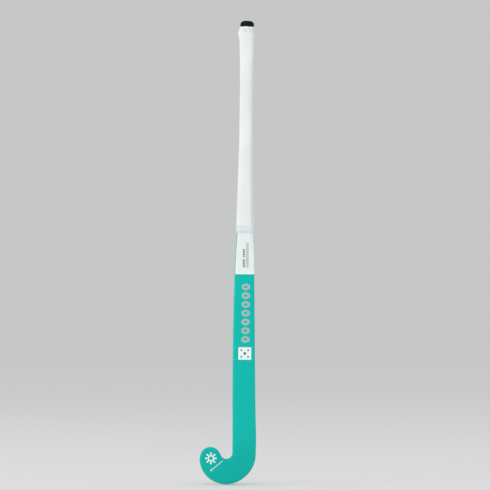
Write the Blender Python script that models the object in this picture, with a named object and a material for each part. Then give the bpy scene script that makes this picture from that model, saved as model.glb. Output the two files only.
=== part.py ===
"""A field hockey stick: a hollow moulded composite body on foam cores, a wound grip and an end cap.

Run with: blender --background --python part.py

Units are metres, +Z is up. The handle's axis is the Z axis and the origin is on it, at the middle of the
grip. The flat playing face looks towards -Y and the toe points towards -X. Shapes are worked out in heights
above the heel's lowest point, and move to the origin at the end, when the bow bends them too.
"""

import math
from collections import namedtuple

import bmesh
import bpy
import numpy as np
from mathutils import Vector

# Overall sizes
LENGTH = 0.9273  # heel to the top of the end cap, 36.5 inches
CAP_HEIGHT = 0.0113  # the dome of the end cap, above the grip
GRIP_ROLL = 0.0060  # height of the grip's rolled end, between the shell's rim and the cap's flange
GRIP_COVER = 0.4140  # length of handle under the grip and its finishing tape
CLEARANCE = 0.0003  # between pieces that touch

SHELL_TOP = LENGTH - CAP_HEIGHT - GRIP_ROLL
TAPE_BOTTOM = LENGTH - CAP_HEIGHT - GRIP_COVER
GRIP_MIDDLE = TAPE_BOTTOM + GRIP_COVER / 2

# The hook: a throat of constant radius, with the ridge line and the outer edge swept round its centre
RIDGE_RADIUS = 0.0325  # throat's centre to the ridge line, which is the handle's axis higher up
NOTCH_RADIUS = 0.0120  # radius of the throat
HOOK_TURN = math.radians(153)  # how far the sections turn from the shaft to the toe's flank
FLANK_LENGTH = 0.0062  # straight flank between the throat and the round toe
HEEL_ANGLES = (0.0, math.radians(50), math.radians(100), math.radians(130), HOOK_TURN)
HEEL_HALVES = (0.0263, 0.0283, 0.0298, 0.0283, 0.0252)  # ridge line to the outer edge at those angles
TOE_HEEL_HALF = 0.0230  # the same at the toe's centre
TOE_ROUND_FROM = math.radians(140)  # where the round toe starts to widen towards the outer edge
HOOK_THICKNESS = 0.0206
TOE_THICKNESS = 0.0190

# The shaft, by height above the throat's centre: half width on the toe side, half width on the heel side,
# thickness and face depth
BLADE_STATIONS = (
    (0.028, 0.0206, 0.0267, 0.0207, 0.0110),
    (0.068, 0.0210, 0.0254, 0.0209, 0.0110),
    (0.138, 0.0217, 0.0238, 0.0213, 0.0110),
)
# The same, by distance below the shell's top
UPPER_STATIONS = (
    (0.515, 0.0204, 0.0200, 0.0234, 0.0113),
    (0.465, 0.0190, 0.0188, 0.0242, 0.0117),
    (0.435, 0.0176, 0.0176, 0.0247, 0.0120),
    (0.407, 0.0161, 0.0161, 0.0252, 0.0123),
    (0.365, 0.0150, 0.0150, 0.0257, 0.0126),
    (0.315, 0.0137, 0.0137, 0.0260, 0.0129),
    (0.265, 0.0125, 0.0125, 0.0262, 0.0131),
    (0.215, 0.0117, 0.0117, 0.0262, 0.0131),
    (0.100, 0.0115, 0.0115, 0.0262, 0.0131),
    (0.060, 0.0121, 0.0120, 0.0265, 0.0133),
    (0.020, 0.0134, 0.0132, 0.0276, 0.0138),
    (0.000, 0.0142, 0.0140, 0.0284, 0.0142),
)
FACE_DEPTH = 0.0110  # the playing face's distance in front of the ridge line, all the way down the blade
FLAT_RISE = 0.048  # above the throat's centre, up to which the face is one plane

# The section: a flat face, an edge that is a quarter ellipse, and a domed back
EDGE_SHARE = 0.20  # width of the blade's rounded edge, as a share of the half width
EDGE_DEPTH = 0.0040
HANDLE_EDGE_SHARE = 0.80  # the same on the oval handle
DOME_POWER = 2.3  # 2 is an ellipse, and more is fuller
OVAL_DROP = (0.300, 0.500)  # below the shell's top: an oval handle above the first, a blade below the second
MIN_EDGE_DEPTH = 0.0012

# The bow: the handle is straight, and the shaft leans forward below it
BOW_REACH = 0.036
BOW_DROP = 0.290  # below the shell's top, where the bow starts
BOW_POWER = 3

# The composite laminate
WALL = 0.0026
HEAD_WALL = 0.0035
HEAD_WALL_RISES = (0.048, 0.103)  # above the throat's centre, where the head's wall thins to the shaft's

# What the shell holds
RIB_WIDTH = 0.0025
CORE_RISE = 0.058  # the bottom of the rib and the shaft's cores, above the throat's centre
DAMPER_LENGTH = 0.024
DAMPER_GROOVES = (0.35, 0.65)  # their middles, as shares of the damper's length
GROOVE_WIDTH = 0.10  # as a share of it too
GROOVE_DEPTH = 0.0012
TOW_WIDTH = 0.0040  # the aramid tow along the inside of the heel
TOW_FLARE = 0.0004  # how far the tow's back corner stands out, to follow the hollow's curve

# The end cap
CAP_DOME = (  # distance below the top, distance in from the shell's outline
    (0.0000, 0.0060),
    (0.0005, 0.0048),
    (0.0018, 0.0030),
    (0.0038, 0.0016),
    (0.0063, 0.0008),
    (0.0095, 0.0002),
    (0.0113, 0.0003),
)
CAP_NECK = 0.0014  # the neck under the dome, in from the shell's outline
SPIGOT_LENGTH = 0.026
SPIGOT_BARB = 0.0010
SPIGOT_BARBS = 3
BARB_LIP = 0.0004
BARB_RISE = 0.6  # share of the barbs' pitch that each one slopes over

# The handle's cover, as distances out from the shell
UNDERLAY = (CLEARANCE, CLEARANCE + 0.0004)
GRIP_INNER = UNDERLAY[1] + CLEARANCE
GRIP_THICKNESS = 0.0010
GRIP_OUTER = GRIP_INNER + GRIP_THICKNESS
TAPE_WIDTH = 0.0165
TAPE_THICKNESS = 0.0003
TAPE_PRESS = 0.00045  # how much thinner the grip is where the tape pulls it in
TAPE_LAP = 0.0040  # length of tape below the grip's end, on the bare shell
TAPE_STEP = 0.0030  # length over which the tape steps down from the grip to the shell
PRESS_STEP = 0.0010  # length over which the grip thins beneath the tape
ROLL_EDGE = (-0.0010, 0.0003)  # the grip's rolled top end, as distances out from the shell: at its lip
ROLL_SHOULDER = (0.0002, 0.0012)  # and at its shoulder
ROLL_SHOULDER_DROP = 0.0026

# Transfers on the face
FILM = 0.00025
PANEL_LENGTH = 0.0825
PANEL_MARGIN = 0.0014  # bare shell between the panel and the toe-side edge
LIGHT_BAR = (0.0050, 0.0058, 0.0497)  # place across, width and length of the panel's bars
DARK_BAR = (-0.0018, 0.0038, 0.0374)
PANEL_BAR_RISE = 0.0136
GLYPHS = 7
GLYPH_PITCH = 0.0175
GLYPH_LENGTH = 0.0136
GLYPH_WIDTH = 0.0152
GLYPH_STROKE = 0.0032
GLYPH_PLACE = 0.0031
GLYPH_GAP = 0.0187  # between the panel and the row
BADGE_GAP = 0.0088  # between the row and the badge
BADGE_WIDTH = 0.0258
BADGE_HEIGHT = 0.0249
BADGE_PLACE = 0.0022
BADGE_CORNER = 0.0012
EMBLEM_RING = (0.0040, 0.0066)
EMBLEM_OFFSET = (0.0011, -0.0020)  # from the toe's centre
PETALS = 8
PETAL_LENGTH = 0.0050
PETAL_WIDTH = 0.0032
PETAL_GAP = 0.0004
LEGEND_FROM = (0.0014, -0.0262)  # from the toe's centre
LEGEND_TO = (0.0236, -0.0075)
LEGEND_WIDTH = 0.0010

# Mesh fineness
EDGE_STEPS = 3
BACK_STEPS = 6
HOOK_STEPS = 12
TOE_STEPS = 9
SHAFT_STEP = 0.030
ROW_GAP = 0.001
MERGE = 1e-6

Section = namedtuple("Section", "pole out toe heel face thickness round wall")


def smooth(at, places, values):
    """A smooth curve through the points (place, value), read at one place and level past its ends."""
    x, y = np.asarray(places, float), np.asarray(values, float)
    at = min(max(at, x[0]), x[-1])
    slope = np.gradient(y, x)
    i = min(max(int(np.searchsorted(x, at)) - 1, 0), len(x) - 2)
    span = x[i + 1] - x[i]
    t = (at - x[i]) / span
    near = (1 + 2 * t) * (1 - t) ** 2 * y[i] + t * (1 - t) ** 2 * span * slope[i]
    far = t * t * (3 - 2 * t) * y[i + 1] + t * t * (t - 1) * span * slope[i + 1]
    return float(near + far)


def ramp(at, start, end):
    """0 before start and 1 after end, with a soft step between."""
    t = min(max((at - start) / (end - start), 0.0), 1.0)
    return t * t * (3 - 2 * t)


def hook_section(angle):
    """The section of the hook after it has turned by this angle from the shaft."""
    out = Vector((math.cos(angle), 0, -math.sin(angle)))
    share = angle / HOOK_TURN
    return Section(
        pole=HOOK_CENTRE + out * RIDGE_RADIUS,
        out=out,
        toe=RIDGE_RADIUS - NOTCH_RADIUS,
        heel=smooth(angle, HEEL_ANGLES, HEEL_HALVES),
        face=FACE_DEPTH,
        thickness=HOOK_THICKNESS + share * (TOE_THICKNESS - HOOK_THICKNESS),
        round=0.0,
        wall=HEAD_WALL,
    )


def toe_section():
    """The last full section, through the round toe's centre."""
    last = hook_section(HOOK_TURN)
    along = Vector((-math.sin(HOOK_TURN), 0, -math.cos(HOOK_TURN)))
    return last._replace(pole=last.pole + along * FLANK_LENGTH, heel=TOE_HEEL_HALF)


def shaft_section(height):
    """The level section of the shaft or handle at this height above the heel."""
    start = hook_section(0.0)
    first = (start.pole.z, start.toe, start.heel, start.thickness, start.face)
    blade = [(HOOK_CENTRE.z + rise, *sizes) for rise, *sizes in BLADE_STATIONS]
    upper = [(SHELL_TOP - drop, *sizes) for drop, *sizes in UPPER_STATIONS]
    stations = [first, *blade, *upper]
    heights, toe, heel, thickness, face = zip(*stations)
    return Section(
        pole=Vector((0, 0, height)),
        out=Vector((1, 0, 0)),
        toe=smooth(height, heights, toe),
        heel=smooth(height, heights, heel),
        face=smooth(height, heights, face),
        thickness=smooth(height, heights, thickness),
        round=ramp(height, SHELL_TOP - OVAL_DROP[1], SHELL_TOP - OVAL_DROP[0]),
        wall=HEAD_WALL + (WALL - HEAD_WALL) * ramp(height - HOOK_CENTRE.z, *HEAD_WALL_RISES),
    )


def heights_between(low, high, step=SHAFT_STEP):
    """Heights from high down to low, about a step apart."""
    count = max(1, round((high - low) / step))
    return [high + (low - high) * i / count for i in range(count + 1)]


def body_rows(low, high):
    """The heights of the moulded body's own rings between two heights, with both ends, from the top down."""
    rows = heights_between(CORE_BOTTOM, SHELL_TOP) + heights_between(HOOK_CENTRE.z, CORE_BOTTOM)[1:]
    return [high, *[row for row in rows if low + ROW_GAP < row < high - ROW_GAP], low]


def half_profile(section, inset):
    """Half a section as (share of the half width, depth behind the face): from the middle of the face, round
    the edge, to the ridge of the back. A negative inset is a surface outside the shell."""
    thickness = section.thickness - 2 * inset
    share = EDGE_SHARE + section.round * (HANDLE_EDGE_SHARE - EDGE_SHARE)
    edge = EDGE_DEPTH + section.round * (section.thickness / 2 - EDGE_DEPTH)
    edge = max(edge - inset, MIN_EDGE_DEPTH)
    points = [(0.0, inset)]
    for i in range(EDGE_STEPS + 1):
        turn = math.pi / 2 * i / EDGE_STEPS
        points.append((1 - share + share * math.sin(turn), inset + edge * (1 - math.cos(turn))))
    for i in range(1, BACK_STEPS + 1):
        turn = math.pi / 2 * i / BACK_STEPS
        across = max(math.cos(turn), 0.0) ** (2 / DOME_POWER) if i < BACK_STEPS else 0.0
        points.append((across, inset + edge + (thickness - edge) * math.sin(turn) ** (2 / DOME_POWER)))
    return points


def place(section, across, depth):
    """A point of a section: across towards the outer edge, and depth behind the face."""
    point = section.pole + section.out * across
    return Vector((point.x, depth - section.face, point.z))


def ring_points(section, inset, heel_cut=0.0):
    """The points round a section, from the middle of the face by the heel side, the back and the toe side."""
    half = half_profile(section, inset)
    heel = section.heel - inset - heel_cut
    toe = section.toe - inset
    return [place(section, share * heel, depth) for share, depth in half] + [
        place(section, -share * toe, depth) for share, depth in half[-2:0:-1]
    ]


def add_ring(bm, points):
    """A closed ring of vertices joined by edges."""
    verts = [bm.verts.new(point) for point in points]
    for pair in zip(verts, verts[1:] + verts[:1]):
        bm.edges.new(pair)
    return verts


def ring_edges(bm, ring):
    return [bm.edges.get(pair) for pair in zip(ring, ring[1:] + ring[:1])]


def neighbours(vert):
    return [edge.other_vert(vert) for edge in vert.link_edges]


def skin(bm, rings):
    """Extrudes the first ring of points through each of the others in turn and returns the vertex rings."""
    made = [add_ring(bm, rings[0])]
    for points in rings[1:]:
        last = made[-1]
        grown = bmesh.ops.extrude_edge_only(bm, edges=ring_edges(bm, last))["geom"]
        fresh = {item for item in grown if isinstance(item, bmesh.types.BMVert)}
        ring = [next(other for other in neighbours(vert) if other in fresh) for vert in last]
        for vert, point in zip(ring, points):
            vert.co = point
        made.append(ring)
    return made


def close_toe(bm, ring, section, inset, heel_cut=0.0):
    """Spins the toe-side half of the last ring half a turn about the toe's centre, to the heel side."""
    count = len(ring) // 2 + 1
    chain = [ring[0], *ring[: count - 2 : -1]]
    edges = [edge for edge in ring_edges(bm, ring) if set(edge.verts) <= set(chain)]
    old = set(bm.verts)
    bmesh.ops.spin(
        bm,
        geom=chain + edges,
        cent=section.pole,
        axis=(0, -1, 0),
        angle=math.pi,
        steps=TOE_STEPS,
    )
    toe, heel = section.toe - inset, section.heel - inset - heel_cut
    for vert in set(bm.verts) - old:
        arm = Vector((vert.co.x - section.pole.x, 0, vert.co.z - section.pole.z))
        if arm.length > MERGE:
            turned = arm.angle(-section.out)
            grown = 1 + (heel / toe - 1) * ramp(turned, TOE_ROUND_FROM, math.pi)
            vert.co.x = section.pole.x + arm.x * grown
            vert.co.z = section.pole.z + arm.z * grown
    bmesh.ops.remove_doubles(bm, verts=bm.verts[:], dist=MERGE)


def bow(height):
    """How far the bow carries the stick forward, towards -Y, at this height. It is a straight lean beside the
    hook, which keeps the head's face in one plane."""
    start = SHELL_TOP - BOW_DROP
    bent = max(height, HOOK_CENTRE.z + FLAT_RISE)
    left = max(1 - bent / start, 0.0)
    slope = BOW_POWER * BOW_REACH / start * left ** (BOW_POWER - 1)
    return BOW_REACH * left**BOW_POWER + slope * (bent - height)


def material(name, color, roughness, metallic=0.0):
    made = bpy.data.materials.new(name)
    made.use_nodes = True
    shader = made.node_tree.nodes["Principled BSDF"]
    shader.inputs["Base Color"].default_value = (*color, 1)
    shader.inputs["Roughness"].default_value = roughness
    shader.inputs["Metallic"].default_value = metallic
    return made


def finish(name, bm, look):
    """Bends the shape by the bow, moves it to the origin and makes it an object."""
    for vert in bm.verts:
        vert.co.y -= bow(vert.co.z)
        vert.co.z -= GRIP_MIDDLE
    bmesh.ops.recalc_face_normals(bm, faces=bm.faces[:])
    mesh = bpy.data.meshes.new(name)
    bm.to_mesh(mesh)
    bm.free()
    mesh.shade_smooth()
    mesh.set_sharp_from_angle(angle=math.radians(35))
    mesh.materials.append(look)
    made = bpy.data.objects.new(name, mesh)
    bpy.context.scene.collection.objects.link(made)
    return made


def hook_sections():
    """The sections round the hook, after the shaft's last one, to the toe."""
    return [hook_section(HOOK_TURN * i / HOOK_STEPS) for i in range(1, HOOK_STEPS + 1)] + [toe_section()]


def body_sections():
    """Every section of the moulded body, from the shell's top round the hook to the toe."""
    shaft = [shaft_section(height) for height in body_rows(HOOK_CENTRE.z, SHELL_TOP)]
    return [*shaft, *hook_sections()]


def composite_shell():
    """The moulded laminate: one hollow skin from the open top of the handle to the toe."""
    bm = bmesh.new()
    sections = body_sections()
    outside = [ring_points(section, 0.0) for section in sections]
    hollow = [ring_points(section, section.wall) for section in sections]
    rings = skin(bm, outside[::-1] + hollow)
    close_toe(bm, rings[0], sections[-1], 0.0)
    close_toe(bm, rings[-1], sections[-1], sections[-1].wall)
    return finish("composite_shell", bm, TEAL)


def filled(rings):
    """A solid skinned over rings of points, with flat ends."""
    bm = bmesh.new()
    made = skin(bm, rings)
    bm.faces.new(made[0])
    bm.faces.new(made[-1])
    return bm


def inside(low, high):
    """The solid that fills the shell between two heights, clear of its wall."""
    sections = [shaft_section(height) for height in body_rows(low, high)]
    return filled([ring_points(section, section.wall + CLEARANCE) for section in sections])


def cut_at(bm, place_x, keep):
    """Cuts a solid at a plane across X and keeps the side that keep points to."""
    cut = bmesh.ops.bisect_plane(
        bm,
        geom=bm.verts[:] + bm.edges[:] + bm.faces[:],
        dist=MERGE,
        plane_co=(place_x, 0, 0),
        plane_no=(-keep, 0, 0),
        clear_outer=True,
    )
    edges = [item for item in cut["geom_cut"] if isinstance(item, bmesh.types.BMEdge)]
    bmesh.ops.contextual_create(bm, geom=edges)


def shaft_cores():
    """The rib down the middle of the shaft, with a foam core on each side of it."""
    top = SHELL_TOP - SPIGOT_LENGTH - DAMPER_LENGTH - 2 * CLEARANCE
    rib = inside(CORE_BOTTOM, top)
    cut_at(rib, RIB_WIDTH / 2, -1)
    cut_at(rib, -RIB_WIDTH / 2, 1)
    finish("centre_rib", rib, CARBON)
    for name, side in (("toe_side_core", -1), ("heel_side_core", 1)):
        core = inside(CORE_BOTTOM, top)
        cut_at(core, side * (RIB_WIDTH / 2 + CLEARANCE), side)
        finish(name, core, FOAM)


def vibration_damper():
    """The silicone plug between the cores and the end cap's spigot, with two grooves round it."""
    top = SHELL_TOP - SPIGOT_LENGTH - CLEARANCE
    rows = [(0, 0)]
    for middle in DAMPER_GROOVES:
        for share, depth in ((-1, 0), (-0.5, GROOVE_DEPTH), (0.5, GROOVE_DEPTH), (1, 0)):
            rows.append((middle + share * GROOVE_WIDTH, depth))
    rows.append((1, 0))
    rings = []
    for share, depth in rows:
        section = shaft_section(top - share * DAMPER_LENGTH)
        rings.append(ring_points(section, section.wall + CLEARANCE + depth))
    return finish("vibration_damper", filled(rings), SILICONE)


def head_sections():
    """The head's own sections, from just under the shaft's cores to the toe."""
    straight = [shaft_section(height) for height in body_rows(HOOK_CENTRE.z, CORE_BOTTOM - CLEARANCE)]
    return [*straight, *hook_sections()]


def head_core():
    """The foam and resin core that fills the head, inside the tow along the heel."""
    bm = bmesh.new()
    sections = head_sections()
    cut = TOW_WIDTH + CLEARANCE
    rings = skin(bm, [ring_points(s, s.wall + CLEARANCE, cut) for s in sections])
    close_toe(bm, rings[-1], sections[-1], sections[-1].wall + CLEARANCE, cut)
    bm.faces.new(rings[0])
    return finish("head_core", bm, FOAM)


def heel_tow():
    """The aramid tow laid along the inside of the heel: the outermost slice of the head's hollow."""
    rings = []
    for section in head_sections()[:-1]:
        inset = section.wall + CLEARANCE
        half = section.heel - inset
        profile = half_profile(section, inset)
        shares, depths = zip(*profile[1 : EDGE_STEPS + 2])
        back_shares, back_depths = zip(*profile[EDGE_STEPS + 1 :])
        least = 1 - TOW_WIDTH / half
        front = float(np.interp(least, shares, depths))
        back = float(np.interp(-least, [-share for share in back_shares], back_depths))
        middle = depths[-1]
        corners = [(least, front), ((1 + least) / 2, (front + middle) / 2), (1, middle)]
        corners += [((1 + least) / 2, (back + middle) / 2 + TOW_FLARE), (least, back)]
        rings.append([place(section, share * half, depth) for share, depth in corners])
    return finish("heel_tow", filled(rings), ARAMID)


def sleeve(name, look, profile):
    """A closed sleeve round the handle, from rows of (height, inner distance, outer distance) out from the
    shell. Heights past the shell's top take the top's section."""
    outside = [ring_points(shaft_section(height), -outer) for height, _, outer in profile]
    within = [ring_points(shaft_section(height), -inner) for height, inner, _ in profile]
    bm = bmesh.new()
    skin(bm, outside + within[::-1] + outside[:1])
    bmesh.ops.remove_doubles(bm, verts=bm.verts[:], dist=MERGE)
    return finish(name, bm, look)


def handle_cover():
    """The underlay, the wound grip with its rolled top end, and the finishing tape at its foot."""
    grip_bottom = TAPE_BOTTOM + TAPE_LAP
    tape_top = TAPE_BOTTOM + TAPE_WIDTH
    grip_top = LENGTH - CAP_HEIGHT - CLEARANCE
    rows = heights_between(tape_top + 0.006, SHELL_TOP - 0.005)
    underlay_rows = [SHELL_TOP - CLEARANCE, *rows, grip_bottom]
    sleeve("grip_underlay", FOAM, [(height, *UNDERLAY) for height in underlay_rows])
    pressed = GRIP_OUTER - TAPE_PRESS
    grip = [
        (grip_top, *ROLL_EDGE),
        (grip_top - ROLL_SHOULDER_DROP, *ROLL_SHOULDER),
        (SHELL_TOP + CLEARANCE, GRIP_INNER, GRIP_OUTER),
        *[(height, GRIP_INNER, GRIP_OUTER) for height in rows],
        (tape_top + CLEARANCE, GRIP_INNER, GRIP_OUTER),
        (tape_top - PRESS_STEP, GRIP_INNER, pressed),
        (grip_bottom, GRIP_INNER, pressed),
    ]
    sleeve("grip_wrap", WHITE_GRIP, grip)
    over = (pressed + CLEARANCE, pressed + CLEARANCE + TAPE_THICKNESS)
    bare = (CLEARANCE, CLEARANCE + TAPE_THICKNESS)
    tape = [
        (tape_top - PRESS_STEP - CLEARANCE, *over),
        (grip_bottom - 2 * CLEARANCE, *over),
        (grip_bottom - TAPE_STEP, *bare),
        (TAPE_BOTTOM, *bare),
    ]
    sleeve("finishing_tape", TAPE_BLUE, tape)


def end_cap():
    """The rubber cap: a domed head over the grip's end, a neck and a barbed spigot in the handle."""
    seat = SHELL_TOP + CLEARANCE
    bore = WALL + CLEARANCE
    core = bore + SPIGOT_BARB
    rows = [(LENGTH - drop, taken) for drop, taken in CAP_DOME]
    rows += [(LENGTH - CAP_HEIGHT, CAP_NECK), (seat, CAP_NECK), (seat, bore)]
    pitch = SPIGOT_LENGTH / (SPIGOT_BARBS + 1)
    for i in range(SPIGOT_BARBS):
        barb = SHELL_TOP - (i + 1) * pitch
        rows += [(barb + BARB_LIP, core), (barb, bore), (barb - BARB_RISE * pitch, core)]
    rows += [(SHELL_TOP - SPIGOT_LENGTH, core)]
    rings = [ring_points(shaft_section(height), inset) for height, inset in rows]
    return finish("end_cap", filled(rings), RUBBER)


def film(name, look, outline, hole=(), under=0.0):
    """A flat transfer on the face: an outline of (x, height) points, with one hole or none, its clearance in
    front of the face or of what lies under it."""
    bm = bmesh.new()
    loops = [[bm.verts.new((x, 0, height)) for x, height in points] for points in (outline, hole) if points]
    edges = [bm.edges.new(pair) for loop in loops for pair in zip(loop, loop[1:] + loop[:1])]
    bmesh.ops.triangle_fill(bm, edges=edges, use_beauty=True)
    grown = bmesh.ops.extrude_face_region(bm, geom=bm.faces[:])
    top = {item for item in grown["geom"] if isinstance(item, bmesh.types.BMVert)}
    for vert in bm.verts:
        section = shaft_section(vert.co.z)
        face = section.face if vert.co.z > HOOK_CENTRE.z else FACE_DEPTH
        vert.co.y = -face - under - CLEARANCE - (FILM if vert in top else 0.0)
    return finish(name, bm, look)


def rectangle(x, low, width, tall, cut=0.0):
    """An upright rectangle's outline, from the middle of its lower edge, with its corners cut or square."""
    left, right, top = x - width / 2, x + width / 2, low + tall
    if not cut:
        return [(left, low), (right, low), (right, top), (left, top)]
    return [
        (left + cut, low),
        (right - cut, low),
        (right, low + cut),
        (right, top - cut),
        (right - cut, top),
        (left + cut, top),
        (left, top - cut),
        (left, low + cut),
    ]


def circle(x, height, radius, steps=24):
    """A round outline about a centre."""
    angles = [math.tau * i / steps for i in range(steps)]
    return [(x + radius * math.cos(angle), height + radius * math.sin(angle)) for angle in angles]


def face_chain(height, out):
    """Points across the face and round the heel-side edge, this far out from the shell. The chain starts on
    the middle facet of the toe-side edge."""
    section = shaft_section(height)
    half = half_profile(section, -out)[: EDGE_STEPS + 3]
    shares, depths = zip(*half[: EDGE_STEPS + 2])
    start = min(max(1 - PANEL_MARGIN / section.toe, shares[2]), shares[3])
    toe_side = [(start, float(np.interp(start, shares, depths))), half[2], half[1]]
    heel, toe = section.heel + out, section.toe + out
    points = [place(section, -share * toe, depth) for share, depth in toe_side]
    return points + [place(section, share * heel, depth) for share, depth in half]


def upper_panel():
    """The white transfer below the grip: over the flat face and round the heel-side edge."""
    rings = []
    for height in heights_between(TAPE_BOTTOM - PANEL_LENGTH, TAPE_BOTTOM - CLEARANCE, SHAFT_STEP / 3):
        rings.append(face_chain(height, CLEARANCE + FILM) + face_chain(height, CLEARANCE)[::-1])
    return finish("upper_panel", filled(rings), WHITE)


def face_transfers():
    """Everything printed on the face below the grip. The panel's bars lie on the panel."""
    upper_panel()
    bars = (("panel_bar_light", SILVER, LIGHT_BAR), ("panel_bar_dark", GREY, DARK_BAR))
    for name, look, (x, width, length) in bars:
        outline = rectangle(x, TAPE_BOTTOM - PANEL_LENGTH + PANEL_BAR_RISE, width, length)
        film(name, look, outline, under=CLEARANCE + FILM)
    row_top = TAPE_BOTTOM - PANEL_LENGTH - GLYPH_GAP
    for i in range(GLYPHS):
        middle = row_top - GLYPH_LENGTH / 2 - i * GLYPH_PITCH
        outer = hexagon(GLYPH_PLACE, middle, GLYPH_WIDTH, GLYPH_LENGTH)
        hole = (GLYPH_WIDTH - 2 * GLYPH_STROKE, GLYPH_LENGTH - 2 * GLYPH_STROKE)
        inner = hexagon(GLYPH_PLACE, middle, *hole)
        film(f"shaft_glyph_{i + 1}", SILVER, outer, inner)
    badge_top = row_top - (GLYPHS - 1) * GLYPH_PITCH - GLYPH_LENGTH - BADGE_GAP
    outline = rectangle(BADGE_PLACE, badge_top - BADGE_HEIGHT, BADGE_WIDTH, BADGE_HEIGHT, BADGE_CORNER)
    film("badge_plate", WHITE, outline)


def hexagon(x, middle, width, length):
    """An upright hexagon with its points to the sides."""
    cut = width / 4
    return [
        (x - width / 2, middle),
        (x - width / 2 + cut, middle - length / 2),
        (x + width / 2 - cut, middle - length / 2),
        (x + width / 2, middle),
        (x + width / 2 - cut, middle + length / 2),
        (x - width / 2 + cut, middle + length / 2),
    ]


def toe_transfers():
    """The rosette on the toe, a ring with petals round it, and the legend line beside it."""
    toe = toe_section().pole
    x, height = toe.x + EMBLEM_OFFSET[0], toe.z + EMBLEM_OFFSET[1]
    inner, outer = EMBLEM_RING
    film("toe_rosette", WHITE, circle(x, height, outer), circle(x, height, inner))
    for i in range(PETALS):
        angle = math.tau * i / PETALS
        away = Vector((math.cos(angle), math.sin(angle)))
        side = Vector((-away.y, away.x)) * PETAL_WIDTH / 2
        root = Vector((x, height)) + away * (outer + PETAL_GAP)
        middle = root + away * PETAL_LENGTH * 0.4
        tip = root + away * PETAL_LENGTH
        film(f"toe_petal_{i + 1}", WHITE, [root[:], (middle - side)[:], tip[:], (middle + side)[:]])
    start = Vector((toe.x + LEGEND_FROM[0], toe.z + LEGEND_FROM[1]))
    end = Vector((toe.x + LEGEND_TO[0], toe.z + LEGEND_TO[1]))
    along = (end - start).normalized()
    side = Vector((-along.y, along.x)) * LEGEND_WIDTH / 2
    film("toe_legend", WHITE, [(start - side)[:], (end - side)[:], (end + side)[:], (start + side)[:]])


for thing in list(bpy.data.objects):
    bpy.data.objects.remove(thing)

HOOK_CENTRE = Vector((-RIDGE_RADIUS, 0, RIDGE_RADIUS + smooth(math.pi / 2, HEEL_ANGLES, HEEL_HALVES)))
CORE_BOTTOM = HOOK_CENTRE.z + CORE_RISE

TEAL = material("teal_lacquer", (0.0, 0.50, 0.43), 0.25)
WHITE = material("white_print", (0.80, 0.87, 0.86), 0.30)
SILVER = material("silver_print", (0.55, 0.50, 0.51), 0.35)
GREY = material("grey_print", (0.20, 0.22, 0.22), 0.35)
WHITE_GRIP = material("white_grip", (0.84, 0.88, 0.87), 0.65)
TAPE_BLUE = material("pale_tape", (0.72, 0.79, 0.84), 0.45)
RUBBER = material("black_rubber", (0.02, 0.02, 0.025), 0.60)
FOAM = material("foam", (0.75, 0.70, 0.55), 0.90)
CARBON = material("carbon", (0.03, 0.03, 0.03), 0.40)
ARAMID = material("aramid", (0.70, 0.55, 0.15), 0.70)
SILICONE = material("silicone", (0.45, 0.50, 0.52), 0.50)

composite_shell()
shaft_cores()
head_core()
heel_tow()
vibration_damper()
end_cap()
handle_cover()
face_transfers()
toe_transfers()
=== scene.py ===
import math
from collections import namedtuple

import bmesh
import bpy
import numpy as np
from mathutils import Matrix, Vector


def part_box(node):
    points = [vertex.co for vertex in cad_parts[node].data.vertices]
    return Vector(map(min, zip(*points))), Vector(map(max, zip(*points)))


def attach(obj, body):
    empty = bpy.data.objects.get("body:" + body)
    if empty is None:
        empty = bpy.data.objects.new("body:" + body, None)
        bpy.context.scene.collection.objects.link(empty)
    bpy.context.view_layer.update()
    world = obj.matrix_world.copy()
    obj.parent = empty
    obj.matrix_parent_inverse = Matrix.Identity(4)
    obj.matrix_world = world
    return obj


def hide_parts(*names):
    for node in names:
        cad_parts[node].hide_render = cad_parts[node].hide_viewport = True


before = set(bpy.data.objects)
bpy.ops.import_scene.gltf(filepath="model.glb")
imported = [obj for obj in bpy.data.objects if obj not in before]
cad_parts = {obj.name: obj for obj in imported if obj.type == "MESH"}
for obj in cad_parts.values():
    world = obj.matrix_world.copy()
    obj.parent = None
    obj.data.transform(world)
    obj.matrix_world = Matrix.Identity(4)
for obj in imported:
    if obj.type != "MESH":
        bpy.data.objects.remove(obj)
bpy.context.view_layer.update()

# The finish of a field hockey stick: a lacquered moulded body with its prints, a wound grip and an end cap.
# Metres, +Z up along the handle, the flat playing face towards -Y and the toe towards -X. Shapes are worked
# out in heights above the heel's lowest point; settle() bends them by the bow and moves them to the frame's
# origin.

# Heights above the heel, from the frame
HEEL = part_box("composite_shell")[0].z
SHELL_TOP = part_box("composite_shell")[1].z - HEEL
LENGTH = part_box("end_cap")[1].z - HEEL
GRIP_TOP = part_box("grip_wrap")[1].z - HEEL
GRIP_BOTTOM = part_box("grip_wrap")[0].z - HEEL
TAPE_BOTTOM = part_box("finishing_tape")[0].z - HEEL
TAPE_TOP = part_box("finishing_tape")[1].z - HEEL
PANEL_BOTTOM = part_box("upper_panel")[0].z - HEEL

# The hook: a throat of constant radius, with the ridge line and the outer edge swept round its centre
RIDGE_RADIUS = 0.0325
NOTCH_RADIUS = 0.0120
HOOK_TURN = math.radians(153)
FLANK_LENGTH = 0.0062
HEEL_ANGLES = (0.0, math.radians(50), math.radians(100), math.radians(130), HOOK_TURN, math.radians(160))
HEEL_HALVES = (0.0263, 0.0283, 0.0298, 0.0283, 0.0250, 0.0236)
TOE_HEEL_HALF = 0.0234
TOE_ROUND_FROM = math.radians(140)
TOE_ROUND_POWER = 1.4
FLANK_SLOPES = (-0.186, -0.250)  # the outer edge's slopes at the hook's end and the toe's centre
FLANK_STEPS = 4
HOOK_THICKNESS = 0.0206
TOE_THICKNESS = 0.0190

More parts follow.
